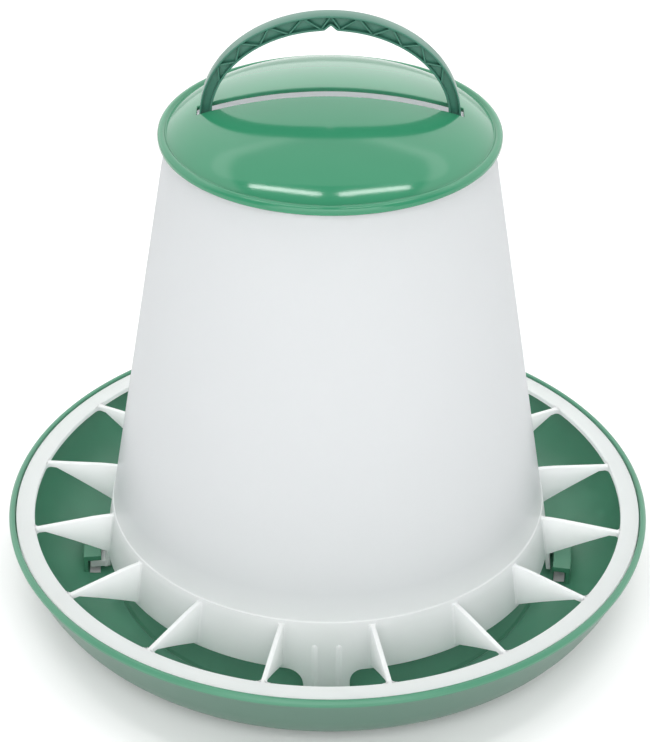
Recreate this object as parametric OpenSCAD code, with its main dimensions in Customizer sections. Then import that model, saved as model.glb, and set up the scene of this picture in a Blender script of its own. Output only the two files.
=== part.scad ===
// Hopper poultry feeder: a dished feed pan, a conical hopper with a built-in feed-saver grill,
// a slotted domed lid and an arched carry handle. All dimensions are in millimetres.
// The origin is the centre of the pan's foot, +Z is up, and -Y is the front.

/* [Feed pan] */
// Diameter over the pan's rolled lip
pan_d = 339; // [336:1:350]
// Height of the pan's lip above its foot
pan_h = 45; // [43:1:48]
// Wall thickness of the pan
pan_wall = 3; // [2.4:0.2:3.4]
// Height of the spreading cone in the middle of the pan
pan_cone_h = 31; // [20:1:34]

/* [Hopper] */
// Height of the hopper's mouth above the pan's foot
hopper_h = 261; // [240:1:290]
// Outer diameter of the hopper's mouth
hopper_mouth_d = 158.8; // [150:0.2:162]
// Outer diameter of the hopper at the top edge of its skirt
hopper_waist_d = 228; // [224:1:229]
// Wall thickness of the hopper
hopper_wall = 2.2; // [1.8:0.1:2.6]

/* [Feed-saver grill] */
// Number of dividers, and so of feeding compartments
divider_count = 16; // [12:4:20]
// Thickness of one divider
divider_t = 2.4; // [2:0.2:3]
// Height of the grill's flat ring above the pan's foot
ring_z = 44; // [43:0.5:44.5]
// Width of the grill's flat ring
ring_w = 9.7; // [8:0.1:11]

/* [Lid] */
// Diameter over the lid's rolled bead
lid_d = 167.4; // [165.6:0.2:172]
// Width of the slot that the handle stands in
slot_w = 9.2; // [8.8:0.2:12]

/* [Carry handle] */
// Span over the outside of the handle's arch
handle_span = 125.8; // [120:0.2:126]
// Height of the arch above its widest level
handle_rise = 52.7; // [48:0.1:64]
// Width of the handle's flanges
handle_w = 8; // [7:0.2:8.4]

/* [Hidden] */
$fn = 96;
deg_full = 360;
cut = 1;           // how far a cutter runs past the face that it cuts
gap = 0.3;         // clearance between pieces that are taken apart
lift = 0.4;        // clearance under a lid or a foot that rests by its weight

// Feed pan
pan_r = pan_d / 2;
wall_lean = 24.5;                      // lean of the pan's wall away from vertical
heel_r = pan_r - 46.8;                 // radius at which the floor turns up into the wall
heel_bend = 42;                        // outer bend radius of that turn
floor_z = pan_wall;                    // height of the pan's floor
floor_t = 2.2;                         // thickness of the floor inside the foot
foot_w = 5.7;                          // width of the ring that the pan stands on
cone_r = heel_r - 8.7;                 // radius of the spreading cone's base
cone_tip_r = 14;                       // radius of the cone's blunt tip
lip_h = 3.6;                           // height of the rolled lip
lip_t = 3.2;                           // thickness of the rolled lip
seat_w = 2.3;                          // width of the seat that the grill's ring lies on
seat_h = 3;                            // height of the vertical wall under that seat

// Hopper
mouth_r = hopper_mouth_d / 2;
waist_r = hopper_waist_d / 2;
grill_z = ring_z + 5.2;                // height of the skirt's top edge
skirt_step = 0.5;                      // step from the hopper's wall out to the skirt
skirt_z = ring_z - 21.9;               // height of the skirt's lower edge
hopper_lean = (waist_r - mouth_r) / (hopper_h - grill_z);
leg_w = 23;                            // width of the front and rear legs
leg_z = floor_z + gap;                 // height of the legs' lower ends
leg_fillet = 9;                        // radius between a leg and the skirt's lower edge
leg_rib_x = 6.1;                       // distance of each stiffening rib from the leg's middle
leg_rib_t = 1.6;                       // thickness of those ribs
leg_rib_proud = 0.6;                   // how far they stand out from the skirt
leg_rib_h = 14;                        // how far the ribs run up the skirt
lug_deg = 6.6;                         // half the angle of a bayonet lug's leg
lug_z = floor_z + 3;                   // height of a lug's lower end
lug_h = 4;                             // height of a lug's toe
lug_toe_r = 128.3;                     // reach of a lug's toe
lug_toe_deg = [0.3, 6.4];              // angles between which the toe stands out
ear_z = 247;                           // height of the ears that hold the handle
ear_t = 3;
ear_w = 18;                            // width of the ears

// Feed-saver grill
ring_r = pan_r - lip_t - 0.6;          // outer radius of the flat ring
ring_in_r = ring_r - ring_w;
ring_t = 2.8;                          // thickness of the flat ring
divider_top_z = ring_z + 3.2;          // height of the dividers' level top edge
divider_foot_z = skirt_z + 1.4;        // height at which their sloping lower edge meets the skirt
divider_land = 5;                      // level stretch of a divider's lower edge at the ring
divider_fall = 5;                      // where the top edge starts to fall, inside the ring
divider_lap = 4;                       // how far a divider laps on to the ring's top

// Bayonet brackets in the pan
bracket_in_r = 122.4;
bracket_out_r = 131.8;
bracket_wall = 2.2;
bracket_z = floor_z + 8;               // height of the underside of the bracket's roof
bracket_roof_t = 3;
bracket_deg = [-10.4, 7];              // angles between which a bracket stands
bracket_stop_deg = 1.5;                // angle taken up by the stop inside it
core_inset = 0.7;                      // distance of the moulding window from the bracket's walls

// Lid
lid_r = lid_d / 2;
lid_wall = 2;
dome_r = 205;                          // radius of the lid's shallow dome
dome_edge_r = 60;                      // radius out to which the dome reaches
dome_z = hopper_h + 21.2;              // height of the dome's crown
shoulder_bend = 58;                    // bend radius of the shoulder
shoulder_deg = 38;                     // steepest slope of the shoulder
shoulder_run = 0.4;                    // width of the straight slope below the shoulder
neck_bend = 1;                         // radius of the hollow between shoulder and bead
bead_r = 2.4;                          // radius of the bead round the lid's edge
bead_rise = 1.6;                       // height of the bead's centre above the lid's edge
lid_edge_z = hopper_h - 1.2;           // height of the lid's lower edge
lid_fit = 0.5;                         // clearance round the hopper's mouth

// Carry handle
arch_z = ring_z + 226.1;               // level at which the arch is widest
arch_out = [handle_span / 2, handle_rise];
arch_in = arch_out - [5.8, 7.5];
flange_t = 0.9;                        // thickness of the handle's two flanges
rim = [flange_t, flange_t];
web_t = 2;                             // thickness of the web between them
brace_count = 9;                       // zigzag braces on each half of the web
brace_first_deg = 4.5;                 // where the second brace starts, beside the notch
brace_step_deg = 7.8;                  // spacing of the others
bay_fill = 0.68;                       // part of each bay that is recessed
plain_end_deg = 84;                    // end of the plain recess above the foot
leg_in_x = 55;                         // inner face of the handle's straight legs
foot_in_x = 57.1;                      // inner face of the part that passes through the ear
barb_out = 2.4;                        // how far the barb stands out past the leg
barb_h = 5;
notch_w = 6.4;                         // width of the hanging notch
notch_h = 2.6;

function pad(i) = i < 10 ? str("0", i) : str(i);
divider_names = [for (i = [1 : divider_count]) str("divider_", pad(i))];

green = [0.24, 0.58, 0.42];
dark_green = [0.16, 0.45, 0.34];
milky = [0.92, 0.93, 0.94];

// Points along an arc round c, from angle a0 to a1
function arc(c, r, a0, a1, n) =
    [for (i = [0 : n]) let (a = a0 + (a1 - a0) * i / n) c + r * [cos(a), sin(a)]];

// Points along an upright oval of half-axes h round c
function oval(c, h, a0, a1, n) =
    [for (i = [0 : n]) let (a = a0 + (a1 - a0) * i / n) c + [h[0] * cos(a), h[1] * sin(a)]];

// Outer radius of the hopper's wall at height z
function hopper_r(z) = waist_r - hopper_lean * (z - grill_z);

// Outer radius of the skirt and of the legs below it at height z
function skirt_r(z) = waist_r + skirt_step + (grill_z - z) * hopper_lean * 0.93;

// A flat plate that stands upright on a radius; points are [radius, height]
module radial_plate(points, t) {
    rotate([90, 0, 0])
        linear_extrude(height = t, center = true)
            polygon(points);
}

// A sector of a turned shape between two angles
module sector(from_deg, to_deg) {
    rotate([0, 0, from_deg])
        rotate_extrude(angle = to_deg - from_deg)
            children();
}

// A turned block between two radii and two heights
module block(r0, r1, z0, z1) {
    translate([r0, z0])
        square([r1 - r0, z1 - z0]);
}

// ---- Feed pan ----

module pan_bowl() {
    turn = [heel_r, heel_bend];
    lean = tan(wall_lean);
    seat_z = ring_z - ring_t - gap;
    lip_in_r = pan_r - lip_t;
    seat_r = lip_in_r - seat_w;
    lip_z = pan_h - lip_h;
    wall_top = turn + heel_bend * [cos(wall_lean), -sin(wall_lean)];
    inner_top = turn + (heel_bend - pan_wall) * [cos(wall_lean), -sin(wall_lean)];
    under_z = floor_z - floor_t;
    outside = concat(
        [[heel_r - foot_w, 0]],
        arc(turn, heel_bend, -90, -wall_lean, 12),
        [wall_top + (lip_z - 0.8 - wall_top[1]) * [lean, 1],
         [pan_r, lip_z], [pan_r, pan_h - 0.9], [pan_r - 0.9, pan_h],
         [lip_in_r + 0.7, pan_h], [lip_in_r, pan_h - 0.7]]);
    inside = concat(
        [[lip_in_r, seat_z], [seat_r, seat_z], [seat_r, seat_z - seat_h],
         inner_top + (seat_z - seat_h - 2 - inner_top[1]) * [lean, 1]],
        arc(turn, heel_bend - pan_wall, -wall_lean, -90, 12),
        [[cone_r, floor_z], [cone_tip_r, pan_cone_h - 2], [0, pan_cone_h]]);
    underside = [
        [0, pan_cone_h - floor_t - 0.6], [cone_tip_r, pan_cone_h - 2 - floor_t - 0.4],
        [cone_r - 0.6, under_z], [heel_r - foot_w - 0.4, under_z]];
    rotate_extrude()
        polygon(concat(outside, inside, underside));
}

// Roof, outer wall and stop that the lug's toe turns in under
module pan_bracket() {
    stop_z = floor_z - cut;
    sector(bracket_deg[0], bracket_deg[1])
        block(bracket_in_r, bracket_out_r, bracket_z, bracket_z + bracket_roof_t);
    sector(bracket_deg[0], bracket_deg[1])
        block(bracket_out_r - bracket_wall, bracket_out_r, stop_z, bracket_z + cut);
    sector(-bracket_stop_deg, 0)
        block(bracket_in_r, bracket_out_r - cut, stop_z + cut, bracket_z + cut);
}

// Window through the floor that the mould's core leaves under a bracket
module pan_window() {
    for (part = [[bracket_deg[0] + cut, -bracket_stop_deg - 0.5], [0.5, bracket_deg[1]]])
        sector(part[0], part[1])
            block(bracket_in_r + core_inset, bracket_out_r - bracket_wall - core_inset,
                  -cut, bracket_z - cut);
}

module feed_pan() {
    color(green)
        difference() {
            union() {
                pan_bowl();
                for (side = [0, 180])
                    rotate([0, 0, side]) pan_bracket();
            }
            for (side = [0, 180])
                rotate([0, 0, side]) pan_window();
        }
}

// ---- Hopper ----

module hopper_wall_shape() {
    inner = -hopper_wall;
    rotate_extrude()
        polygon([
            [skirt_r(leg_z), leg_z], [skirt_r(grill_z), grill_z], [hopper_r(grill_z), grill_z],
            [mouth_r, hopper_h], [mouth_r + inner, hopper_h],
            [hopper_r(grill_z) + inner, grill_z], [skirt_r(leg_z) + inner, leg_z]]);
}

// Cuts the wall away below the skirt from angle a0 to a1, up to height z
module skirt_cut(a0, a1, z) {
    sector(a0, a1)
        block(skirt_r(skirt_z) - 3 * hopper_wall, skirt_r(leg_z) + cut, leg_z - cut, z);
}

// Clears the skirt's lower edge on one side of a leg, with a rounded corner beside the leg
module leg_side_cut() {
    edge_deg = asin(leg_w / 2 / skirt_r(skirt_z));
    round_deg = asin((leg_w / 2 + leg_fillet) / skirt_r(skirt_z));
    skirt_cut(edge_deg, 90 - lug_deg, skirt_z - leg_fillet);
    skirt_cut(round_deg, 90 - lug_deg, skirt_z);
    rotate([0, 0, round_deg])
        translate([skirt_r(skirt_z) - 2 * hopper_wall, 0, skirt_z - leg_fillet])
            rotate([0, 90, 0])
                cylinder(h = 4 * hopper_wall, r = leg_fillet);
}

module leg_ribs() {
    rib_top = skirt_z + leg_rib_h;
    for (x = [-leg_rib_x, leg_rib_x])
        translate([0, x, 0])
            radial_plate([
                [skirt_r(leg_z) - cut, leg_z], [skirt_r(leg_z) + leg_rib_proud, leg_z],
                [skirt_r(rib_top - cut) + leg_rib_proud, rib_top - cut],
                [skirt_r(rib_top) - cut, rib_top]], leg_rib_t);
}

// Toe that turns in under the pan's bracket
module lug_toe() {
    sector(lug_toe_deg[0], lug_toe_deg[1])
        block(skirt_r(lug_z) - cut, lug_toe_r, lug_z, lug_z + lug_h);
}

// Ear inside the hopper's mouth with the hole that the handle's foot snaps through
module ear() {
    reach = hopper_r(ear_z) - hopper_wall / 2;
    hole_in = foot_in_x - 0.6;
    hole_out = handle_span / 2 + 0.7;
    difference() {
        translate([leg_in_x - 1, -ear_w / 2, ear_z])
            cube([reach - leg_in_x, ear_w, ear_t]);
        translate([hole_in, -handle_w / 2 - 0.5, ear_z - cut])
            cube([hole_out - hole_in, handle_w + 1, ear_t + 2 * cut]);
    }
}

module hopper() {
    color(milky)
        union() {
            difference() {
                hopper_wall_shape();
                for (side = [0, 180])
                    rotate([0, 0, side + 90]) {
                        leg_side_cut();
                        mirror([0, 1, 0]) leg_side_cut();
                    }
                for (side = [0, 180])
                    rotate([0, 0, side])
                        skirt_cut(-lug_deg - cut, lug_deg + cut, lug_z);
            }
            for (side = [0, 180])
                rotate([0, 0, side]) {
                    lug_toe();
                    ear();
                    rotate([0, 0, 90]) leg_ribs();
                }
        }
}

// ---- Feed-saver grill ----

module anti_waste_ring() {
    color(milky)
        rotate_extrude()
            polygon([
                [ring_in_r, ring_z - ring_t], [ring_r, ring_z - ring_t],
                [ring_r, ring_z - 0.6], [ring_r - 0.6, ring_z], [ring_in_r, ring_z]]);
}

module divider(i) {
    outer_x = ring_in_r * cos(asin(divider_t / 2 / ring_in_r));
    under_z = ring_z - ring_t;
    color(milky)
        rotate([0, 0, (i - 0.5) * deg_full / divider_count])
            radial_plate([
                [skirt_r(divider_top_z), divider_top_z], [ring_in_r - divider_fall, divider_top_z],
                [ring_in_r + divider_lap, ring_z], [outer_x, ring_z], [outer_x, under_z],
                [outer_x - divider_land, under_z], [skirt_r(divider_foot_z), divider_foot_z]],
                divider_t);
}

// ---- Lid ----

module lid_shape() {
    dome_c = [0, dome_z - dome_r];
    dome_deg = asin(dome_edge_r / dome_r);
    shoulder_c = dome_c + (dome_r - shoulder_bend) * [sin(dome_deg), cos(dome_deg)];
    slope_top = shoulder_c + shoulder_bend * [sin(shoulder_deg), cos(shoulder_deg)];
    slope_foot = slope_top + shoulder_run * [1, -tan(shoulder_deg)];
    neck_c = slope_foot + neck_bend * [sin(shoulder_deg), cos(shoulder_deg)];
    bead_c = [lid_r - bead_r, lid_edge_z + bead_rise];
    skirt_in_r = mouth_r + lid_fit;
    ledge_z = hopper_h + lift;
    ledge_in = slope_foot - lid_wall * [sin(shoulder_deg), cos(shoulder_deg)];
    outside = concat(
        arc(dome_c, dome_r, 90, 90 - dome_deg, 8),
        arc(shoulder_c, shoulder_bend, 90 - dome_deg - 3, 90 - shoulder_deg, 8),
        [slope_foot],
        arc(neck_c, neck_bend, -90 - shoulder_deg + 12, -90, 3),
        arc(bead_c, bead_r, 105, 0, 8));
    inside = concat(
        [[lid_r, lid_edge_z + 0.5], [lid_r - 0.5, lid_edge_z], [skirt_in_r, lid_edge_z],
         [skirt_in_r, ledge_z], [ledge_in[0] + (ledge_in[1] - ledge_z), ledge_z], ledge_in],
        arc(shoulder_c, shoulder_bend - lid_wall, 90 - shoulder_deg, 90 - dome_deg, 8),
        arc(dome_c, dome_r - lid_wall, 90 - dome_deg + 1, 90, 8));
    rotate_extrude()
        polygon(concat(outside, inside));
}

module lid() {
    slot_len = handle_span + 2.8;
    color(green)
        difference() {
            lid_shape();
            translate([-slot_len / 2, -slot_w / 2, hopper_h])
                cube([slot_len, slot_w, dome_z - hopper_h + cut]);
        }
}

// ---- Carry handle ----

// Outline of the arch and its two straight legs, from the side
module handle_outline() {
    c = [0, arch_z];
    foot_z = ear_z - gap - barb_h;
    barb_z = ear_z - gap;
    step_z = ear_z + ear_t + gap;
    right_leg = [
        [arch_out[0], barb_z], [arch_out[0] + barb_out, barb_z],
        [arch_out[0], foot_z], [foot_in_x, foot_z],
        [foot_in_x, step_z], [leg_in_x, step_z], [leg_in_x, arch_z - 3]];
    left_leg = [for (i = [len(right_leg) - 1 : -1 : 0]) [-right_leg[i][0], right_leg[i][1]]];
    polygon(concat(
        oval(c, arch_out, 180, 0, 40), right_leg,
        oval(c, arch_in, 0, 180, 40), left_leg));
}

// Angle from the arch's crown at which brace number k starts
function brace_deg(k) = k == 0 ? 0 : brace_first_deg + brace_step_deg * (k - 1);

// A point on the inner face of a flange; even braces start at the outer flange
function brace_point(k) = flange_point(k % 2 == 0 ? arch_out - rim : arch_in + rim, brace_deg(k));
function flange_point(h, a) = [h[0] * sin(a), arch_z + h[1] * cos(a)];

// Moves the corners of a triangle towards its middle
function shrunk(t, k) = let (m = (t[0] + t[1] + t[2]) / 3) [for (p = t) m + (p - m) * k];

// Triangular recesses between the zigzag braces on one half of the arch, and the plain
// recess that runs from the last brace down to the foot
module web_recess() {
    last = brace_deg(brace_count);
    plain = [for (a = [last - brace_step_deg + 2 : 6 : plain_end_deg])
                 flange_point(arch_out - rim, a)];
    plain_in = [for (a = [plain_end_deg : -5 : last + 2]) flange_point(arch_in + rim, a)];
    for (k = [0 : brace_count - 2])
        linear_extrude(height = handle_w)
            polygon(shrunk([brace_point(k), brace_point(k + 1), brace_point(k + 2)], bay_fill));
    linear_extrude(height = handle_w)
        polygon(concat(plain, plain_in));
}

module hanging_notch() {
    top = arch_z + arch_in[1];
    rotate([90, 0, 0])
        linear_extrude(height = handle_w + 2 * cut, center = true)
            polygon([[-notch_w / 2 - 0.4, top - 1], [notch_w / 2 + 0.4, top - 1],
                     [notch_w / 2, top], [0, top + notch_h], [-notch_w / 2, top]]);
}

module carry_handle() {
    color(dark_green)
        difference() {
            rotate([90, 0, 0])
                linear_extrude(height = handle_w, center = true)
                    handle_outline();
            for (face = [0, 1], half = [0, 1])
                mirror([0, face, 0])
                    mirror([half, 0, 0])
                        translate([0, -web_t / 2, 0])
                            rotate([90, 0, 0])
                                web_recess();
            hanging_notch();
        }
}

feed_pan();
hopper();
anti_waste_ring();
for (i = [1 : divider_count])
    divider(i);
lid();
carry_handle();
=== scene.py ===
"""Looks of the hopper poultry feeder: pan, hopper with its grill, lid and handle.

Shapes are in millimetres until a mesh is made; the floor, lights and camera are in metres.
-Y is the front and +Z is up.
"""

from math import acos, asin, cos, degrees, hypot, pi, radians, sin, sqrt, tan

import bmesh
import bpy
from mathutils import Matrix, Quaternion, Vector

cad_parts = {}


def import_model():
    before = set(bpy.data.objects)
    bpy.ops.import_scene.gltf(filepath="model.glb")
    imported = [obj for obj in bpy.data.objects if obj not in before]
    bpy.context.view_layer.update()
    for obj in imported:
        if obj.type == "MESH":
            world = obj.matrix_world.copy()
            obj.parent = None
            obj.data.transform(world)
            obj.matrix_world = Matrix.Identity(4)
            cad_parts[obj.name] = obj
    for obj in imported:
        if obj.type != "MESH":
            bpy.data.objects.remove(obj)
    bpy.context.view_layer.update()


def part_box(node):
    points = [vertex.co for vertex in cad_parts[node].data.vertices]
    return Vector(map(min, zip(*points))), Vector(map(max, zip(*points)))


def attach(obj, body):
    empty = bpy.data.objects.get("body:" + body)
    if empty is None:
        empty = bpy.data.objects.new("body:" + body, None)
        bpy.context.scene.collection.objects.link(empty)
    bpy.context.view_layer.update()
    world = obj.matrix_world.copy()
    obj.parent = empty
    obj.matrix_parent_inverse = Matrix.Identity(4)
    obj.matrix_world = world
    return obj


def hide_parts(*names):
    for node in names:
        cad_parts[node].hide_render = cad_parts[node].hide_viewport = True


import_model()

MM = 0.001


def box_mm(node):
    lo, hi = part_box(node)
    return lo / MM, hi / MM


# ---- Sizes that come from the CAD nodes ----

pan_hi = box_mm("feed_pan")[1]
ring_lo, ring_hi = box_mm("anti_waste_ring")
hopper_lo, hopper_hi = box_mm("hopper")
lid_lo, lid_hi = box_mm("lid")
handle_hi = box_mm("carry_handle")[1]
divider_lo, divider_hi = box_mm("divider_01")

PAN_R = pan_hi.x
PAN_H = pan_hi.z
RING_Z = ring_hi.z
RING_R = ring_hi.x
RING_T = ring_hi.z - ring_lo.z
HOPPER_H = hopper_hi.z
LEG_Z = hopper_lo.z
LID_R = lid_hi.x
LID_EDGE_Z = lid_lo.z
DOME_Z = lid_hi.z
ARCH_TOP = handle_hi.z
DIVIDER_TOP = divider_hi.z
DIVIDER_FOOT = divider_lo.z
RING_STEPS = 288             # columns of a turned mesh


# ---- Mesh helpers ----

def rounded(corners, steps=4):
    """Points round a closed outline of corners (x, y, radius), each turned in a few steps."""
    out = []
    n = len(corners)
    for i, (x, y, r) in enumerate(corners):
        p = Vector((x, y))
        if r == 0:
            out.append((x, y))
            continue
        a = Vector(corners[i - 1][:2]) - p
        b = Vector(corners[(i + 1) % n][:2]) - p
        la, lb = a.length, b.length
        a.normalize()
        b.normalize()
        half = acos(max(-1, min(1, a.dot(b)))) / 2
        reach = min(r / tan(half), 0.49 * la, 0.49 * lb)
        c = p + (a + b).normalized() * (reach / cos(half))
        v0, v1 = p + a * reach - c, p + b * reach - c
        turn = pi - 2 * half
        for k in range(steps + 1):
            s = k / steps
            v = (v0 * sin((1 - s) * turn) + v1 * sin(s * turn)) / sin(turn)
            out.append(tuple(c + v))
    return out


def arc(cx, cy, r, a0, a1, n):
    return [(cx + r * cos(radians(a0 + (a1 - a0) * i / n)),
             cy + r * sin(radians(a0 + (a1 - a0) * i / n))) for i in range(n + 1)]


def between(first, second, s):
    """Points a share s of the way from one row of points to another."""
    return [(p[0] + (q[0] - p[0]) * s, p[1] + (q[1] - p[1]) * s) for p, q in zip(first, second)]


class Shape:
    """Vertices and faces gathered for one mesh."""

    def __init__(self):
        self.verts = []
        self.faces = []

    def grid(self, rows, close_u=False, close_v=False, skip=None):
        """Quads between rows of points; u runs along a row and v from row to row."""
        base = len(self.verts)
        m = len(rows[0])
        n = len(rows)
        for row in rows:
            self.verts.extend(row)
        for i in range(n if close_v else n - 1):
            for j in range(m if close_u else m - 1):
                if skip and skip(i, j):
                    continue
                i2, j2 = (i + 1) % n, (j + 1) % m
                self.faces.append((base + i * m + j, base + i2 * m + j,
                                   base + i2 * m + j2, base + i * m + j2))

    def cap(self, loop):
        base = len(self.verts)
        self.verts.extend(loop)
        self.faces.append(tuple(range(base, base + len(loop))))

    def solid(self, loops):
        """A closed tube through loops of points, with flat ends."""
        self.grid(loops, close_u=True)
        self.cap(loops[0])
        self.cap(list(reversed(loops[-1])))

    def block(self, at, radii, heights, angles, steps=6):
        """A block between two radii, two heights and two angles in degrees round Z."""
        loops = []
        for i in range(steps + 1):
            a = radians(angles[0] + (angles[1] - angles[0]) * i / steps) + radians(at)
            loops.append([(r * cos(a), r * sin(a), z) for r, z in (
                (radii[0], heights[0]), (radii[1], heights[0]),
                (radii[1], heights[1]), (radii[0], heights[1]))])
        self.solid(loops)

    def build(self, name, body, nodes, material, bevel=0.0, sharp=40, angle=50):
        mesh = bpy.data.meshes.new(name)
        mesh.from_pydata([(x * MM, y * MM, z * MM) for x, y, z in self.verts], [], self.faces)
        bm = bmesh.new()
        bm.from_mesh(mesh)
        bmesh.ops.remove_doubles(bm, verts=bm.verts, dist=2e-6)
        bmesh.ops.dissolve_degenerate(bm, edges=bm.edges, dist=1e-7)
        bmesh.ops.recalc_face_normals(bm, faces=bm.faces)
        bm.to_mesh(mesh)
        bm.free()
        for p in mesh.polygons:
            p.use_smooth = True
        mesh.set_sharp_from_angle(angle=radians(sharp))
        obj = bpy.data.objects.new(name, mesh)
        bpy.context.scene.collection.objects.link(obj)
        mesh.materials.append(material)
        if bevel:
            mod = obj.modifiers.new("soft_edges", "BEVEL")
            mod.width = bevel * MM
            mod.segments = 2
            mod.limit_method = "ANGLE"
            mod.angle_limit = radians(angle)
            mod.use_clamp_overlap = False
            mod.harden_normals = True
        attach(obj, body)
        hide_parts(*nodes)
        return obj


def ring_angles(count, special=()):
    """Evenly spaced angles in degrees, with the nearest ones moved on to the special ones."""
    angles = [360 * i / count for i in range(count)]
    for s in special:
        s %= 360
        k = min(range(count), key=lambda i: abs((angles[i] - s + 180) % 360 - 180))
        angles[k] = s
    return sorted(angles)


def turn_rows(profile, angles):
    return [[(r * cos(radians(a)), r * sin(radians(a)), z) for r, z in profile] for a in angles]


# ---- Materials ----

MIX_FACTOR, MIX_FIRST, MIX_SECOND, MIX_RESULT = 0, 6, 7, 2   # a colour mix node's sockets


def node(tree, kind, **inputs):
    n = tree.nodes.new(kind)
    for key, value in inputs.items():
        name = key.replace("_", " ")
        if name in n.inputs:
            n.inputs[name].default_value = value
        else:
            setattr(n, key, value)
    return n


def link(tree, a, out, b, inp):
    tree.links.new(a.outputs[out], b.inputs[inp])


def map_range(tree, from_min, from_max, to_min=0.0, to_max=1.0):
    n = node(tree, "ShaderNodeMapRange")
    n.inputs["From Min"].default_value = from_min
    n.inputs["From Max"].default_value = from_max
    n.inputs["To Min"].default_value = to_min
    n.inputs["To Max"].default_value = to_max
    return n


def blend_by(tree, value, out, lo, hi, first, colour):
    """Socket with the first colour where a value is lo, turning to another colour at hi."""
    amount = map_range(tree, lo, hi)
    link(tree, value, out, amount, "Value")
    mix = node(tree, "ShaderNodeMix", data_type="RGBA")
    mix.inputs[MIX_SECOND].default_value = (*colour, 1)
    link(tree, amount, "Result", mix, MIX_FACTOR)
    tree.links.new(first, mix.inputs[MIX_FIRST])
    return mix.outputs[MIX_RESULT]


def plastic(name, colour, dark, rough, spread, bump, ripple=0.2, through=0.0, upper_wall_painted_shade=None,
            painted_floor_reflection=None):
    """Moulded plastic: clouded colour, fine surface grain, slow ripples and uneven gloss.

    through is the share of the light that passes into the plastic. The colour for the wall above
    the grill is a painted shade: that wall is coloured darker than the skirt, dividers and ring
    below it, so that these lower parts, which lie in more shade, look as light as the wall. The
    colour for the outside that faces down is a painted reflection of the floor: a greyer, duller
    green.
    """
    mat = bpy.data.materials.new(name)
    mat.use_nodes = True
    t = mat.node_tree
    p = t.nodes["Principled BSDF"]
    p.inputs["IOR"].default_value = 1.49
    where = node(t, "ShaderNodeTexCoord")

    cloud = node(t, "ShaderNodeTexNoise", Scale=14.0, Detail=3.0, Roughness=0.55)
    link(t, where, "Object", cloud, "Vector")
    tone = node(t, "ShaderNodeMix", data_type="RGBA")
    tone.inputs[MIX_FIRST].default_value = (*colour, 1)
    tone.inputs[MIX_SECOND].default_value = (*dark, 1)
    fade = map_range(t, 0.35, 0.7)
    link(t, cloud, "Fac", fade, "Value")
    link(t, fade, "Result", tone, MIX_FACTOR)
    shade = tone.outputs[MIX_RESULT]
    # Painted shade: from just above the ring upwards the wall turns to a darker colour, so the skirt,
    # dividers and ring below, which lie in more shade, look as light as the wall.
    if upper_wall_painted_shade:
        split = node(t, "ShaderNodeSeparateXYZ")
        link(t, where, "Object", split, "Vector")
        shade = blend_by(t, split, "Z", (RING_Z + 2) * MM, (RING_Z + 20) * MM, shade, upper_wall_painted_shade)
    # Painted reflection: outside faces that point downwards turn to a greyer, duller green that
    # stands in for the floor reflected in them.
    if painted_floor_reflection:
        split = node(t, "ShaderNodeSeparateXYZ")
        link(t, where, "Normal", split, "Vector")
        shade = blend_by(t, split, "Z", -0.1, -0.3, shade, painted_floor_reflection)
    t.links.new(shade, p.inputs["Base Color"])

    wear = node(t, "ShaderNodeTexNoise", Scale=35.0, Detail=8.0, Roughness=0.6)
    link(t, where, "Object", wear, "Vector")
    gloss = map_range(t, 0.2, 0.8, rough, rough + spread)
    link(t, wear, "Fac", gloss, "Value")
    link(t, gloss, "Result", p, "Roughness")

    grain = node(t, "ShaderNodeTexNoise", Scale=900.0, Detail=2.0)
    waves = node(t, "ShaderNodeTexNoise", Scale=16.0, Detail=1.0)
    link(t, where, "Object", grain, "Vector")
    link(t, where, "Object", waves, "Vector")
    fine = node(t, "ShaderNodeBump", Strength=bump, Distance=0.00005)
    broad = node(t, "ShaderNodeBump", Strength=ripple, Distance=0.0004)
    link(t, grain, "Fac", fine, "Height")
    link(t, waves, "Fac", broad, "Height")
    link(t, broad, "Normal", fine, "Normal")
    link(t, fine, "Normal", p, "Normal")
    if through:
        glow = node(t, "ShaderNodeBsdfTranslucent")
        both = node(t, "ShaderNodeMixShader", Fac=through)
        t.links.new(shade, glow.inputs["Color"])
        link(t, fine, "Normal", glow, "Normal")
        link(t, p, "BSDF", both, 1)
        link(t, glow, "BSDF", both, 2)
        link(t, both, "Shader", t.nodes["Material Output"], "Surface")
    return mat


green = plastic("green_plastic", colour=(0.03, 0.205, 0.106), dark=(0.026, 0.19, 0.097),
                rough=0.09, spread=0.04, bump=0.10)
# Pan plastic: its last colour is a painted reflection of the floor, greyer and duller, on the outside
# that faces down.
pan_green = plastic("pan_green_plastic", colour=(0.061, 0.222, 0.134), dark=(0.05, 0.2, 0.118),
                    rough=0.34, spread=0.06, bump=0.35, painted_floor_reflection=(0.066, 0.145, 0.105))
dark_green = plastic("handle_green_plastic", colour=(0.032, 0.148, 0.10),
                     dark=(0.026, 0.13, 0.087), rough=0.25, spread=0.08, bump=0.2)
# Milky plastic: its last colour is a painted shade, darker on the wall above the grill than on the
# skirt, dividers and ring below.
milky = plastic("milky_plastic", colour=(0.98, 0.985, 0.985), dark=(0.97, 0.975, 0.98),
                rough=0.24, spread=0.03, bump=0.08, ripple=0.06, through=0.56,
                upper_wall_painted_shade=(0.83, 0.84, 0.85))


# ---- Feed pan ----

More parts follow.
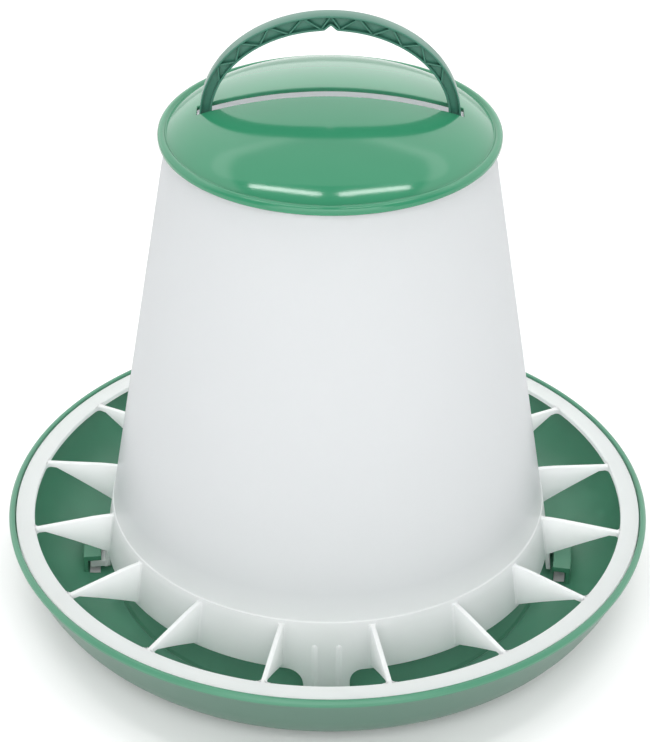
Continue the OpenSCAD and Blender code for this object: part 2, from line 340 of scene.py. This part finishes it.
HEEL_R = PAN_R - 46.8
HEEL_BEND = 42
WALL_LEAN = 24.5
PAN_WALL = 3.0
FLOOR_Z = 3.0
SEAT_Z = RING_Z - RING_T - 0.3
LIP_IN_R = PAN_R - 3.2
SEAT_R = LIP_IN_R - 2.3
CONE_R = HEEL_R - 8.7
CONE_TIP_R = 14
CONE_Z = 31
WINDOW_R = (123.1, 128.9)
WINDOW_DEG = ((-9.4, -2.0), (0.5, 7.0))
WINDOW_TOP = 12              # the windows go through everything below this height
BRACKET_R = (122.4, 131.8)
BRACKET_DEG = (-10.4, 7)
BRACKET_Z = 11.0
SIDES = (0, 180)             # angles of the two bayonet brackets
FOOT_W = 5.7
CONE_T = 2.8
CREASE = 1.1                 # half the width of the groove round the cone
UNDER_Z = 0.8                # height of the underside inside the ring foot


def build_pan():
    lean = tan(radians(WALL_LEAN))
    ray = Vector((cos(radians(WALL_LEAN)), -sin(radians(WALL_LEAN))))
    turn = Vector((HEEL_R, HEEL_BEND))
    top = turn + ray * HEEL_BEND
    in_top = turn + ray * (HEEL_BEND - PAN_WALL)
    lip_z = PAN_H - 3.6
    out_z = lip_z - 0.2
    in_z = SEAT_Z - 5

    def heel(bend, radii):
        """Sharp corners on the turned-up heel at the given radii, from the middle outwards."""
        return [(r, HEEL_BEND - sqrt(bend ** 2 - (r - HEEL_R) ** 2), 0) for r in radii]

    radii = [WINDOW_R[0], 126, WINDOW_R[1], 132, 136, 140, 144, 147.5, 150.5, 153, 155.5, 157.5]
    outside = [(HEEL_R - FOOT_W, 0, 0.7), (HEEL_R - 1, 0, 0)]
    outside += heel(HEEL_BEND, radii)
    outside += [(top.x, top.y, 0), (top.x + (out_z - top.y) * lean, out_z, 0.35),
                (PAN_R - 0.25, lip_z, 0.5), (PAN_R, PAN_H - 1.6, 1.5),
                (PAN_R - 1.5, PAN_H, 1.3), (LIP_IN_R, PAN_H, 0.9)]
    inside = [(LIP_IN_R, SEAT_Z, 0.4), (SEAT_R, SEAT_Z, 0.5), (SEAT_R, SEAT_Z - 3, 0.8),
              (in_top.x + (in_z - in_top.y) * lean, in_z, 0.8), (in_top.x, in_top.y, 0)]
    inside += reversed(heel(HEEL_BEND - PAN_WALL, radii[:-1]))
    inside += [(HEEL_R, FLOOR_Z, 0), (CONE_R + CREASE, FLOOR_Z, 0.3), (CONE_R, FLOOR_Z - 1, 0.4),
               (CONE_R - CREASE, FLOOR_Z + 0.3, 0.3), (CONE_TIP_R, CONE_Z - 2, 5), (0, CONE_Z, 0)]
    under = [(0, CONE_Z - CONE_T, 0), (CONE_TIP_R, CONE_Z - 2 - 2.6, 4),
             (CONE_R - 0.6, UNDER_Z, 1), (HEEL_R - FOOT_W - 0.4, UNDER_Z, 0.3)]
    profile = rounded(outside + inside + under, steps=5)

    window_ends = [a + side for side in SIDES for part in WINDOW_DEG for a in part]
    angles = ring_angles(RING_STEPS, window_ends)
    in_window = [((a0 + side) % 360, (a1 + side) % 360) for side in SIDES for a0, a1 in WINDOW_DEG]

    def angle_inside(i):
        a, b = angles[i], angles[(i + 1) % len(angles)]
        mid = (a + ((b - a) % 360) / 2) % 360
        return any((mid - lo) % 360 < (hi - lo) % 360 for lo, hi in in_window)

    def over_window(point):
        return WINDOW_R[0] - 0.01 < point[0] < WINDOW_R[1] + 0.01 and point[1] < WINDOW_TOP

    def profile_inside(j):
        return over_window(profile[j]) and over_window(profile[(j + 1) % len(profile)])

    shape = Shape()
    shape.grid(turn_rows(profile, angles), close_u=True, close_v=True,
               skip=lambda i, j: angle_inside(i) and profile_inside(j))
    below = sorted(point for point in profile if over_window(point) and point[1] < FLOOR_Z / 2)
    above = sorted(point for point in profile if over_window(point) and point[1] > FLOOR_Z / 2)
    for lo, hi in in_window:
        span = [a for a in angles if (a - lo) % 360 <= (hi - lo) % 360 + 1e-6]
        span.sort(key=lambda a: (a - lo) % 360)
        for k in (0, -1):
            shape.grid(turn_rows([below[k], above[k]], span))
        for a in (span[0], span[-1]):
            shape.grid(list(zip(*turn_rows(below, [a]), *turn_rows(above, [a]))))

    inner, outer = BRACKET_R
    tuck = BRACKET_Z + 0.5       # the web and the stop end inside the shelf
    for side in SIDES:
        shape.block(side, BRACKET_R, (BRACKET_Z, BRACKET_Z + 3), BRACKET_DEG)
        shape.block(side, (outer - 2.2, outer), (FLOOR_Z - 1.5, tuck), BRACKET_DEG)
        shape.block(side, (inner, outer - 1), (FLOOR_Z - 0.6, tuck), (-1.5, 0), steps=1)
    return shape.build("pan", "pan", ["feed_pan"], pan_green, bevel=0.25, angle=60)


# ---- Hopper with its grill ----

MOUTH_R = 79.4
WAIST_R = 114.0
GRILL_Z = RING_Z + 5.2
STEP = 0.5
WALL = 2.2
SKIRT_Z = RING_Z - 21.9
LEAN = (WAIST_R - MOUTH_R) / (HOPPER_H - GRILL_Z)
SKIRT_LEAN = LEAN * 0.93
RING_IN_R = RING_R - 9.7
LUG_DEG = 6.6
LUG_Z, LUG_T = 6.0, 4
LUG_REACH = 128.3
LEG_HALF = 11.5
LEG_CORNERS, LUG_CORNER = (8.8, 6.4), 2.0
DIVIDER_T = 2.4
DIVIDERS = 16
EAR_Z, EAR_T = 247, 3        # the shelf inside the mouth that holds the handle


def hopper_r(z):
    return WAIST_R - LEAN * (z - GRILL_Z)


def skirt_r(z):
    """Outer radius of the skirt, which leans a little less than the cone."""
    return WAIST_R + STEP + (GRILL_Z - z) * SKIRT_LEAN


LEG_R = skirt_r(SKIRT_Z)


def tabs():
    """Parts of the wall that reach below the skirt.

    Each is its middle angle, half angle, foot height and the radii of the corners before and
    after it.
    """
    leg = degrees(asin(LEG_HALF / LEG_R))
    wide, tight = LEG_CORNERS
    return [(-90, leg, LEG_Z, wide, tight), (0, LUG_DEG, LUG_Z, LUG_CORNER, LUG_CORNER),
            (90, leg, LEG_Z, tight, wide), (180, LUG_DEG, LUG_Z, LUG_CORNER, LUG_CORNER)]


def wall_columns():
    """Columns of the hopper's wall: [angle, height of its lower end, number of its tab or None]."""
    def corner(at, half, r, sign, n=8):
        out = []
        for k in range(n + 1):
            phi = pi / 2 * k / n
            x = r * (1 - cos(phi))
            z = SKIRT_Z - r * (1 - sin(phi))
            out.append((at + sign * (half + degrees(x / LEG_R)), z))
        return out

    foot_steps, skirt_steps = 10, 64
    columns = []
    tab_list = tabs()
    for number, (at, half, foot, r0, r1) in enumerate(tab_list):
        left = corner(at, half, r0, -1)
        right = corner(at, half, r1, 1)
        columns += [(a, z, None) for a, z in reversed(left[1:])]
        for k in range(foot_steps + 1):
            s = k / foot_steps
            columns.append((at - half + 2 * half * s, left[0][1] * (1 - s) + right[0][1] * s, number))
        columns += [(a, z, None) for a, z in right[1:]]
        nxt = tab_list[(number + 1) % len(tab_list)]
        start = at + half + degrees(r1 / LEG_R)
        stop = at + 90 - nxt[1] - degrees(nxt[3] / LEG_R)
        columns += [(start + (stop - start) * k / skirt_steps, SKIRT_Z, None)
                    for k in range(1, skirt_steps)]
    return columns


def build_wall(shape):
    columns = wall_columns()
    lip = 0.7
    upper = [(MOUTH_R - WALL / 2, HOPPER_H)]
    upper += [(MOUTH_R - lip + lip * sin(radians(a)), HOPPER_H - lip + lip * cos(radians(a)))
              for a in (0, 30, 60, 90)]
    cone_z = [HOPPER_H - 3 - (HOPPER_H - 3 - GRILL_Z - 1) * k / 12 for k in range(13)]
    upper += [(hopper_r(z), z) for z in cone_z]
    step_z = GRILL_Z - 0.3
    upper += [(hopper_r(GRILL_Z) + 0.05, GRILL_Z + 0.25), (hopper_r(GRILL_Z) + 0.16, GRILL_Z + 0.08),
              (skirt_r(GRILL_Z) - 0.16, GRILL_Z - 0.02), (skirt_r(GRILL_Z) - 0.04, GRILL_Z - 0.12),
              (skirt_r(step_z), step_z)]
    inner = [(hopper_r(GRILL_Z) - WALL, GRILL_Z)]
    inner += [(hopper_r(z) - WALL, z) for z in reversed(cone_z)]
    inner += [(MOUTH_R - WALL + lip - lip * sin(radians(a)), HOPPER_H - lip + lip * cos(radians(a)))
              for a in (90, 60, 30, 0)]

    def at(a, points):
        c, s = cos(radians(a)), sin(radians(a))
        return [(r * c, r * s, z) for r, z in points]

    levels = 6
    rows = []
    for a, low, _ in columns:
        zs = [step_z + (low - step_z) * k / levels for k in range(1, levels + 1)]
        skirt = [(skirt_r(z), z) for z in zs]
        back = [(skirt_r(z) - WALL, z) for z in reversed(zs)]
        rows.append(at(a, upper + skirt + back + inner))
    bottom = len(upper) + levels - 1
    n = len(columns)

    def skip(i, j):
        return (j == bottom and columns[i][2] is not None
                and columns[i][2] == columns[(i + 1) % n][2])

    shape.grid(rows, close_u=True, close_v=True, skip=skip)

    for number, (_, _, foot, _, _) in enumerate(tabs()):
        cols = [c for c in columns if c[2] == number]
        outer, inside = [], []
        for a, low, _ in cols:
            zs = [low + (foot - low) * k / 4 for k in range(5)]
            outer.append(at(a, [(skirt_r(z), z) for z in zs]))
            inside.append(at(a, [(skirt_r(z) - WALL, z) for z in zs]))
        shape.grid(outer)
        shape.grid(inside)
        shape.grid([[o[-1], i[-1]] for o, i in zip(outer, inside)])
        for k in (0, -1):
            shape.grid([outer[k], inside[k]])


def leg_rib(shape, side, x0):
    """A soft rib, rounded at its top, that stands a little out of a leg."""
    top, half, proud = SKIRT_Z + 14.4, 1.9, 0.55
    heights = [LEG_Z + 0.5 + (top - half - LEG_Z - 0.5) * k / 8 for k in range(8)]
    heights += [top - half + half * sin(radians(10 * k)) for k in range(9)]
    loops = []
    for z in heights:
        full = sqrt(max(0.0, 1 - (max(0.0, z - top + half) / half) ** 2))
        row = [(half * full * m / 5, proud * full * cos(pi / 2 * m / 5) ** 2) for m in range(-5, 6)]
        row += [(half * full * m / 5, -0.8) for m in range(5, -6, -1)]
        loops.append([])
        for dx, out in row:
            x, r = x0 + dx, skirt_r(z) + out - 0.01
            loops[-1].append((side * x, side * sqrt(r ** 2 - x ** 2), z))
    shape.solid(loops)


def divider(shape, angle):
    """One grill divider: sloping top and lower edges, and flared roots at wall and ring."""
    half = DIVIDER_T / 2
    under = RING_Z - RING_T
    slope_end = RING_IN_R - 5
    foot_r = skirt_r(DIVIDER_FOOT)
    root, lap = 0.7, 1.2
    c, s = cos(radians(angle)), sin(radians(angle))

    def lower(r):
        if r > RING_IN_R:
            return RING_Z - 0.6
        if r >= slope_end:
            return under
        return DIVIDER_FOOT + (under - DIVIDER_FOOT) * (r - foot_r) / (slope_end - foot_r)

    def upper(r):
        start, stop = foot_r + 4, RING_IN_R + lap
        if r <= start:
            return DIVIDER_TOP
        return DIVIDER_TOP + (RING_Z - DIVIDER_TOP) * (r - start) / (stop - start)

    def flare(d, size):
        return 0 if d >= size else size - sqrt(size ** 2 - (size - d) ** 2)

    def section(r_at, extra=0.0):
        """Loop of one section; r_at(z) gives its radius at a height."""
        z1, z0 = upper(r_at(DIVIDER_TOP)), lower(r_at(DIVIDER_FOOT))
        w = half + extra
        e = min(0.5, (z1 - z0) * 0.3)
        loop = []
        for sx, sz, start in ((1, 1, 0), (-1, 1, 90), (-1, -1, 180), (1, -1, 270)):
            for k in range(4):
                a = radians(start + 30 * k)
                x = sx * (w - e) + e * cos(a)
                z = (z1 - e if sz > 0 else z0 + e) + e * sin(a)
                r = r_at(z)
                loop.append((r * c - x * s, r * s + x * c, z))
        return loop

    def near_wall(d):
        return lambda z: skirt_r(z) + d

    def along(k):
        return lambda z: (skirt_r(z) + root) * (1 - k) + slope_end * k

    def fixed(r):
        return lambda z: r

    loops = [section(near_wall(d), max(0.0, root - d)) for d in (-0.6, root)]
    loops += [section(along(k)) for k in (0.12, 0.3, 0.5, 0.7, 0.88, 1.0)]
    loops += [section(fixed(RING_IN_R + d)) for d in (-4, -3, -2, -1, 0, 0.01, 0.6, lap)]
    shape.solid(loops)

    size = 2.8
    fillet = []
    for d in (size, 2.0, 1.4, 0.9, 0.5, 0.2, 0.0, -0.3):
        r = RING_IN_R - d
        w = half - 0.2 + flare(max(d, 0.0), size)
        fillet.append([(r * c - x * s, r * s + x * c, z) for x, z in (
            (w, under + 0.1), (w, RING_Z - 0.35), (w - 0.12, RING_Z - 0.1), (w - 0.35, RING_Z),
            (0.35 - w, RING_Z), (0.12 - w, RING_Z - 0.1), (-w, RING_Z - 0.35), (-w, under + 0.1))])
    shape.solid(fillet)


def ear(shape, side):
    """Shelf inside the mouth, in four bars round the hole for the handle's foot."""
    reach = hopper_r(EAR_Z) - WALL / 2
    tip, hole = 54, (56.5, 63.6)
    half, hole_half = 9, 4.5
    for x0, x1, y0, y1 in ((tip, hole[0], -half, half), (hole[1], reach, -half, half),
                           (*hole, -half, -hole_half), (*hole, hole_half, half)):
        shape.solid([[(side * x0, y0, z), (side * x1, y0, z), (side * x1, y1, z), (side * x0, y1, z)]
                     for z in (EAR_Z, EAR_Z + EAR_T)])


def build_hopper():
    shape = Shape()
    build_wall(shape)
    for side in SIDES:
        shape.block(side, (LEG_R - 1, LUG_REACH), (LUG_Z, LUG_Z + LUG_T), (0.3, 6.4))
    for side in (1, -1):
        ear(shape, side)
        for x in (-6.1, 6.1):
            leg_rib(shape, side, x)
    under = RING_Z - RING_T
    profile = rounded([(RING_IN_R, under, 0.4), (RING_R, under, 0.4),
                       (RING_R, RING_Z, 0.6), (RING_IN_R, RING_Z, 0.55)], steps=4)
    shape.grid(turn_rows(profile, ring_angles(RING_STEPS)), close_u=True, close_v=True)
    names = ["hopper", "anti_waste_ring"]
    for i in range(DIVIDERS):
        divider(shape, (i + 0.5) * 360 / DIVIDERS)
        names.append("divider_%02d" % (i + 1))
    return shape.build("hopper_moulding", "hopper_unit", names, milky,
                       bevel=0.3, angle=58)


# ---- Lid ----

DOME_R = 205.0
DOME_C = DOME_Z - DOME_R
DOME_EDGE_R = 60
DOME_DEG = degrees(asin(DOME_EDGE_R / DOME_R))
BEND = 58.0
BEND_C = ((DOME_R - BEND) * sin(radians(DOME_DEG)),
          DOME_C + (DOME_R - BEND) * cos(radians(DOME_DEG)))
SLOPE = 38
LID_WALL = 2.0
SLOT_HALF = (64.3, 4.6)
JOIN_R = 70.0                # from here outwards the lid's rings are circles


def lid_top(r):
    if r <= DOME_R * sin(radians(DOME_DEG)):
        return DOME_C + sqrt(DOME_R ** 2 - r ** 2)
    return BEND_C[1] + sqrt(BEND ** 2 - (r - BEND_C[0]) ** 2)


def lid_under(r):
    inner = DOME_R - LID_WALL
    if r <= inner * sin(radians(DOME_DEG)):
        return DOME_C + sqrt(inner ** 2 - r ** 2)
    return BEND_C[1] + sqrt((BEND - LID_WALL) ** 2 - (r - BEND_C[0]) ** 2)


def rim_profile():
    """Section of the lid from JOIN_R over shoulder, neck and bead, and back up the inside."""
    neck_bend, bead, run = 1.0, 2.4, 0.4
    mouth = MOUTH_R + 0.5
    ledge_z = HOPPER_H + 0.4
    n = (sin(radians(SLOPE)), cos(radians(SLOPE)))
    slope_top = (BEND_C[0] + BEND * n[0], BEND_C[1] + BEND * n[1])
    slope_foot = (slope_top[0] + run, slope_top[1] - run * tan(radians(SLOPE)))
    neck_c = (slope_foot[0] + neck_bend * n[0], slope_foot[1] + neck_bend * n[1])
    bead_c = (LID_R - bead, LID_EDGE_Z + 1.6)
    join_deg = degrees(acos((JOIN_R - BEND_C[0]) / BEND))
    rim = arc(*BEND_C, BEND, join_deg, 90 - SLOPE, 8)[1:]
    rim += [slope_foot]
    rim += arc(*neck_c, neck_bend, 270 - SLOPE + 6, 270, 5)
    rim += arc(*bead_c, bead, 106, 0, 14)
    rim += [(LID_R, LID_EDGE_Z + 0.7)]
    rim += arc(LID_R - 0.6, LID_EDGE_Z + 0.6, 0.6, 0, -90, 3)
    rim += arc(mouth + 0.4, LID_EDGE_Z + 0.4, 0.4, 270, 180, 3)
    ledge_in = (slope_foot[0] - LID_WALL * n[0], slope_foot[1] - LID_WALL * n[1])
    rim += [(mouth, ledge_z - 0.3), (mouth - 0.3, ledge_z),
            (ledge_in[0] + ledge_in[1] - ledge_z, ledge_z), ledge_in]
    inner_deg = degrees(acos((JOIN_R - BEND_C[0]) / (BEND - LID_WALL)))
    rim += arc(*BEND_C, BEND - LID_WALL, 90 - SLOPE, inner_deg, 5)
    return rim


def build_lid():
    angles = ring_angles(RING_STEPS)
    end_deg = 5.0            # half the angle that each end of the slot takes up

    def outline(d):
        """The slot's outline, set back by d all round, one point for each angle."""
        out = []
        hx, hy = SLOT_HALF[0] + d, SLOT_HALF[1] + d
        for a in angles:
            folded = (a + 90) % 180 - 90
            if abs(folded) <= end_deg:
                sign = 1 if cos(radians(a)) > 0 else -1
                out.append((sign * hx, sign * hy * folded / end_deg))
            else:
                y = hy if a < 180 else -hy
                out.append((hx * cos(radians(a)) / cos(radians(end_deg)), y))
        return out

    circle = [(JOIN_R * cos(radians(a)), JOIN_R * sin(radians(a))) for a in angles]
    edge = 0.45
    rings = []
    for k in range(5):
        phi = radians(90 * k / 4)
        d = edge * (1 - cos(phi))
        drop = edge * (1 - sin(phi))
        rings.append([(x, y, lid_top(hypot(x, y)) - drop) for x, y in outline(d)])
    start = outline(edge)
    for s in (0.012, 0.03, 0.06, 0.1, 0.16, 0.24, 0.33, 0.43, 0.54, 0.66, 0.78, 0.9, 1.0):
        rings.append([(x, y, lid_top(hypot(x, y))) for x, y in between(start, circle, s)])
    for r, z in rim_profile():
        rings.append([(r * cos(radians(a)), r * sin(radians(a)), z) for a in angles])
    for s in (0.85, 0.6, 0.35, 0.15, 0.0):
        rings.append([(x, y, lid_under(hypot(x, y))) for x, y in between(outline(0), circle, s)])
    shape = Shape()
    shape.grid(rings, close_u=True, close_v=True)
    return shape.build("lid_cover", "lid", ["lid"], green, sharp=38)


# ---- Carry handle ----

ARCH_Z = RING_Z + 226.1
SPAN = 62.9
RISE = ARCH_TOP - ARCH_Z
HANDLE_HALF = 4.0
WEB_HALF = 1.0
FLANGE = 0.95
HOOK_Z = 241.8               # bottom of the snap feet


def arch_point(h, a):
    return (h[0] * sin(radians(a)), ARCH_Z + h[1] * cos(radians(a)))


def strip(shape, path, half_y, half_t, edge=0.32):
    """A flat band with rounded edges swept along a path in the XZ plane."""
    loops = []
    n = len(path)
    for i, (x, z) in enumerate(path):
        x0, z0 = path[max(i - 1, 0)]
        x1, z1 = path[min(i + 1, n - 1)]
        length = hypot(x1 - x0, z1 - z0)
        nx, nz = (z1 - z0) / length, -(x1 - x0) / length
        loop = []
        for sy, st, start in ((1, 1, 0), (-1, 1, 90), (-1, -1, 180), (1, -1, 270)):
            for k in range(4):
                a = radians(start + 30 * k)
                y = sy * (half_y - edge) + edge * cos(a)
                t = st * (half_t - edge) + edge * sin(a)
                loop.append((x + nx * t, y, z + nz * t))
        loops.append(loop)
    shape.solid(loops)


def build_handle():
    shape = Shape()
    t = FLANGE / 2
    leg_depth, crown_depth = 5.8, 7.5
    out_h = (SPAN - t, RISE - t)
    in_h = (SPAN - leg_depth + t, RISE - crown_depth + t)
    foot = EAR_Z + EAR_T + 0.3
    outer = [(-out_h[0], foot - 3 + 3.0 * k) for k in range(7)]
    outer += [arch_point(out_h, a) for a in range(-90, 91, 2)]
    outer += [(-x, z) for x, z in reversed(outer[:7])]
    strip(shape, outer, HANDLE_HALF, t)
    notch_half, notch_rise = 3.3, 2.5
    slope = [(-notch_half - 0.4, 0), (-notch_half, 0.05), (-notch_half + 0.4, 0.3), (-0.6, 2.3)]
    notch = slope + [(0, notch_rise + 0.05)] + [(-x, z) for x, z in reversed(slope)]
    crown = arch_point(in_h, 0)[1]
    side = [arch_point(in_h, a) for a in range(-90, -4, 2)]
    side = [p for p in side if p[0] < -notch_half - 0.8]
    left = [(-in_h[0], foot + 3.0 * k) for k in range(6)]
    inner = left + side + [(x, crown + dz) for x, dz in notch]
    inner += [(-x, z) for x, z in reversed(left + side)]
    strip(shape, inner, HANDLE_HALF, t)

    rows = []
    for a in range(-90, 91, 2):
        x0, z0 = arch_point(in_h, a)
        if abs(x0) < notch_half:
            z0 += notch_rise * (1 - abs(x0) / notch_half)
        x1, z1 = arch_point(out_h, a)
        rows.append([(x0, -WEB_HALF, z0), (x1, -WEB_HALF, z1),
                     (x1, WEB_HALF, z1), (x0, WEB_HALF, z0)])
    shape.solid(rows)
    toe, hook = 55, SPAN - leg_depth
    snap = [(hook, HOOK_Z), (SPAN, HOOK_Z), (SPAN + 2.3, HOOK_Z + 4.8), (SPAN, HOOK_Z + 4.9),
            (SPAN, HOOK_Z + 10.2), (hook, HOOK_Z + 10.2)]
    pad = [(toe, foot), (SPAN, foot), (SPAN, foot + 1.4), (toe, foot + 1.4)]
    for side in (-1, 1):
        shape.solid([[(side * x, y, z) for x, y in ((toe, -WEB_HALF), (out_h[0], -WEB_HALF),
                                                    (out_h[0], WEB_HALF), (toe, WEB_HALF))]
                     for z in (foot, ARCH_Z)])
        for outline in (snap, pad):
            shape.solid([[(side * x, y, z) for x, z in outline]
                         for y in (-HANDLE_HALF, HANDLE_HALF)])

    def brace_deg(k):
        return 0 if k == 0 else 4.5 + 7.8 * (k - 1)

    for mirror in (-1, 1):
        for k in range(9):
            p0 = arch_point(out_h if k % 2 == 0 else in_h, brace_deg(k))
            p1 = arch_point(in_h if k % 2 == 0 else out_h, brace_deg(k + 1))
            path = [between([p0], [p1], s)[0] for s in (0, 0.25, 0.5, 0.75, 1)]
            strip(shape, [(mirror * x, z) for x, z in path], HANDLE_HALF - 0.75, 0.42, edge=0.25)
    return shape.build("handle", "hopper_unit", ["carry_handle"], dark_green,
                       bevel=0.25, angle=60)


build_pan()
build_hopper()
build_lid()
build_handle()


# ---- Floor, light and camera ----

def floor(half):
    mat = bpy.data.materials.new("pale_floor")
    mat.use_nodes = True
    p = mat.node_tree.nodes["Principled BSDF"]
    p.inputs["Base Color"].default_value = (0.93, 0.93, 0.93, 1)
    p.inputs["Roughness"].default_value = 0.8
    p.inputs["Specular IOR Level"].default_value = 0.1
    mesh = bpy.data.meshes.new("floor")
    corners = [(-half, -half, 0), (half, -half, 0), (half, half, 0), (-half, half, 0)]
    mesh.from_pydata(corners, [], [(0, 1, 2, 3)])
    obj = bpy.data.objects.new("floor", mesh)
    mesh.materials.append(mat)
    bpy.context.scene.collection.objects.link(obj)


def area_light(name, at, target, size, power, turn=0, shape="RECTANGLE"):
    """A flat light, in metres and watts, turned about its own axis by some degrees."""
    data = bpy.data.lights.new(name, "AREA")
    data.shape = shape
    data.size, data.size_y = size
    data.energy = power
    obj = bpy.data.objects.new(name, data)
    obj.location = at
    aim = (Vector(target) - Vector(at)).to_track_quat("-Z", "Y")
    obj.rotation_euler = (aim @ Quaternion((0, 0, 1), radians(turn))).to_euler()
    bpy.context.scene.collection.objects.link(obj)


def world(low, backdrop, gap_deg, gap_half):
    """A studio with a bright curved backdrop behind and beside the object, a round gap in it
    almost overhead, and a low even light from everywhere else."""
    w = bpy.data.worlds.new("studio")
    bpy.context.scene.world = w
    w.use_nodes = True
    t = w.node_tree
    where = node(t, "ShaderNodeTexCoord")
    split = node(t, "ShaderNodeSeparateXYZ")
    link(t, where, "Generated", split, "Vector")
    behind = map_range(t, -0.25, 0.05)
    link(t, split, "Y", behind, "Value")
    towards_gap = node(t, "ShaderNodeVectorMath", operation="DOT_PRODUCT")
    link(t, where, "Generated", towards_gap, 0)
    towards_gap.inputs[1].default_value = (0, cos(radians(gap_deg)), sin(radians(gap_deg)))
    soft = 1.5
    outside = map_range(t, cos(radians(gap_half - soft)), cos(radians(gap_half + soft)))
    link(t, towards_gap, "Value", outside, "Value")
    bright = node(t, "ShaderNodeMath", operation="MULTIPLY")
    link(t, outside, "Result", bright, 0)
    link(t, behind, "Result", bright, 1)
    strength = map_range(t, 0, 1, low, backdrop)
    link(t, bright, "Value", strength, "Value")
    link(t, strength, "Result", t.nodes["Background"], "Strength")
    t.nodes["Background"].inputs["Color"].default_value = (1, 1, 1, 1)


def camera():
    """The photo's viewpoint: a long lens that looks down on the feeder, rolled a little."""
    data = bpy.data.cameras.new("camera")
    data.lens = 110.93
    data.sensor_width = 36
    data.sensor_fit = "AUTO"
    data.shift_x = -0.00477
    obj = bpy.data.objects.new("camera", data)
    at, target = Vector((0, -0.9964, 0.7588)), Vector((0, 0, 0.1232))
    look = (target - at).to_track_quat("-Z", "Y").to_matrix()
    roll = Matrix.Rotation(0.0066, 3, "Z")
    obj.matrix_world = Matrix.Translation(at) @ (look @ roll).to_4x4()
    bpy.context.scene.collection.objects.link(obj)
    bpy.context.scene.camera = obj


floor(half=20.0)
world(low=0.32, backdrop=1.75, gap_deg=83, gap_half=34)
area_light("top_softbox", at=(0, 0.97, 2.3), target=(0, 0.97, 0), size=(3.6, 1.7), power=13,
           shape="ELLIPSE")
for side in (-1, 1):
    area_light("top_strip", at=(side * 0.58, -0.05, 2.12), target=(side * 0.58, -0.05, 0),
               size=(1.0, 0.13), power=6.2, turn=side * 20)
area_light("front_key", at=(0, -2.1, 2.0), target=(0, 0, 0.1), size=(3.0, 1.2), power=38)
area_light("front_fill", at=(0, -2.4, 0.7), target=(0, 0, 0.1), size=(4.0, 1.3), power=33)
camera()
bpy.context.scene.view_settings.view_transform = "Standard"
